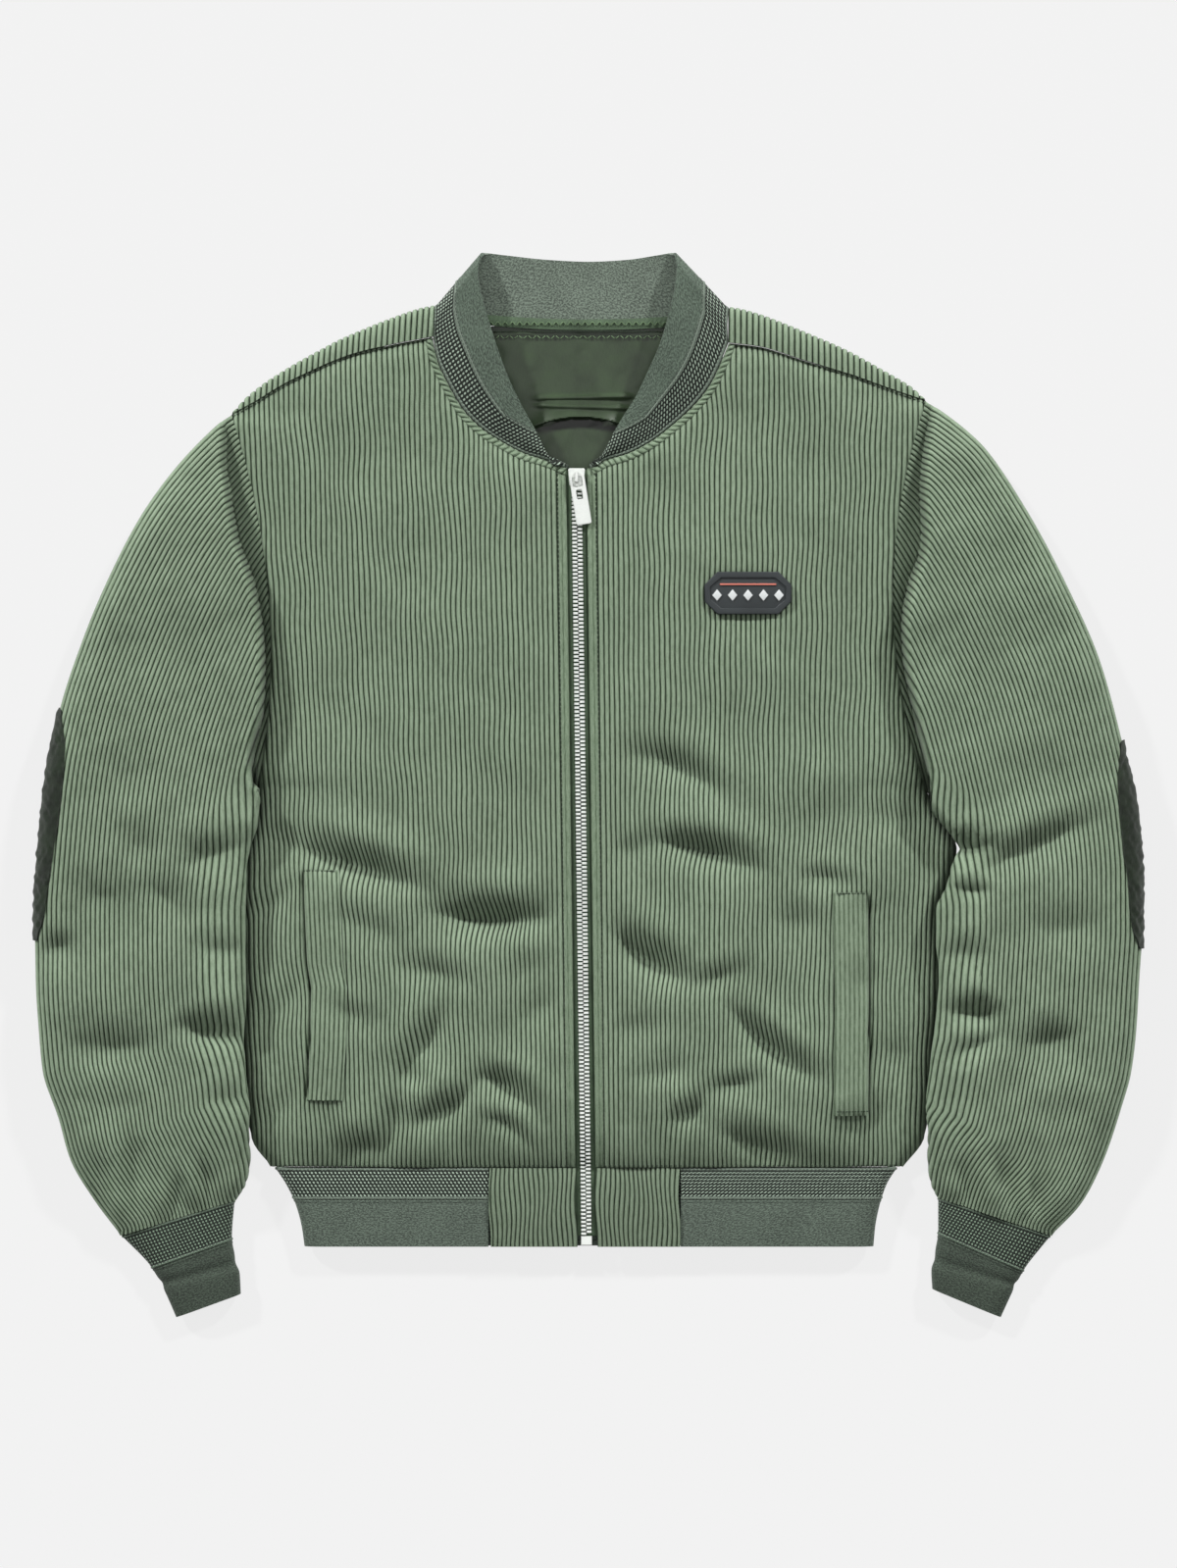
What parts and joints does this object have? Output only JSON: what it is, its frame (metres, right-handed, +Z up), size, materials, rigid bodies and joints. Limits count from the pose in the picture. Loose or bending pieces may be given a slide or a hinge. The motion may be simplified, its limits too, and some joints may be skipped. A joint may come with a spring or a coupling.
{
  "type": "corduroy bomber jacket",
  "caption": "Corduroy bomber jacket laid flat on its back, zip closed, with rib collar, cuffs and hem band, welt pockets and elbow patches.",
  "frame": {"origin": "middle of the jacket's bounding box, on the surface that it lies on", "axes": "+X to the right seen from above, +Y from the hem to the collar, +Z up through the front"},
  "size_m": [0.7934, 0.7608, 0.0336],
  "materials": {
    "corduroy": "wide-wale sage green corduroy with a soft nap",
    "rib": "rib knit, dark sage, with a flecked zone",
    "lining": "smooth satin lining",
    "tape": "woven tape",
    "suede": "dark green suede-like cloth",
    "zip_metal": "bright satin metal",
    "badge": "matt moulded badge"
  },
  "bodies": {
    "jacket": {"back": "corduroy", "front_left": "corduroy", "front_right": "corduroy", "yoke_left": "corduroy", "yoke_right": "corduroy", "sleeve_left": "corduroy", "sleeve_right": "corduroy", "elbow_patch_left": "suede", "elbow_patch_right": "suede", "cuff_left": "rib", "cuff_right": "rib", "hem_rib": "rib", "hem_block_left": "corduroy", "hem_block_right": "corduroy", "collar": "rib", "lining_back": "lining", "neck_tape": "tape", "pocket_welt_left": "corduroy", "pocket_welt_right": "corduroy", "zip_tape_left": "tape", "zip_tape_right": "tape", "zip_teeth_left": "zip_metal", "zip_teeth_right": "zip_metal", "zip_stop": "zip_metal", "zip_slider": "zip_metal", "badge": "badge"},
    "zip_pull": {"zip_pull": "zip_metal"}
  },
  "joints": [
    {"name": "pull_tab_hinge", "type": "hinge", "parent": "jacket", "child": "zip_pull", "pos_m": [-0.00851, 0.2197, 0.02349], "axis": [-0.9874, -0.1582, 0], "range_deg": [0, 165]}
  ]
}
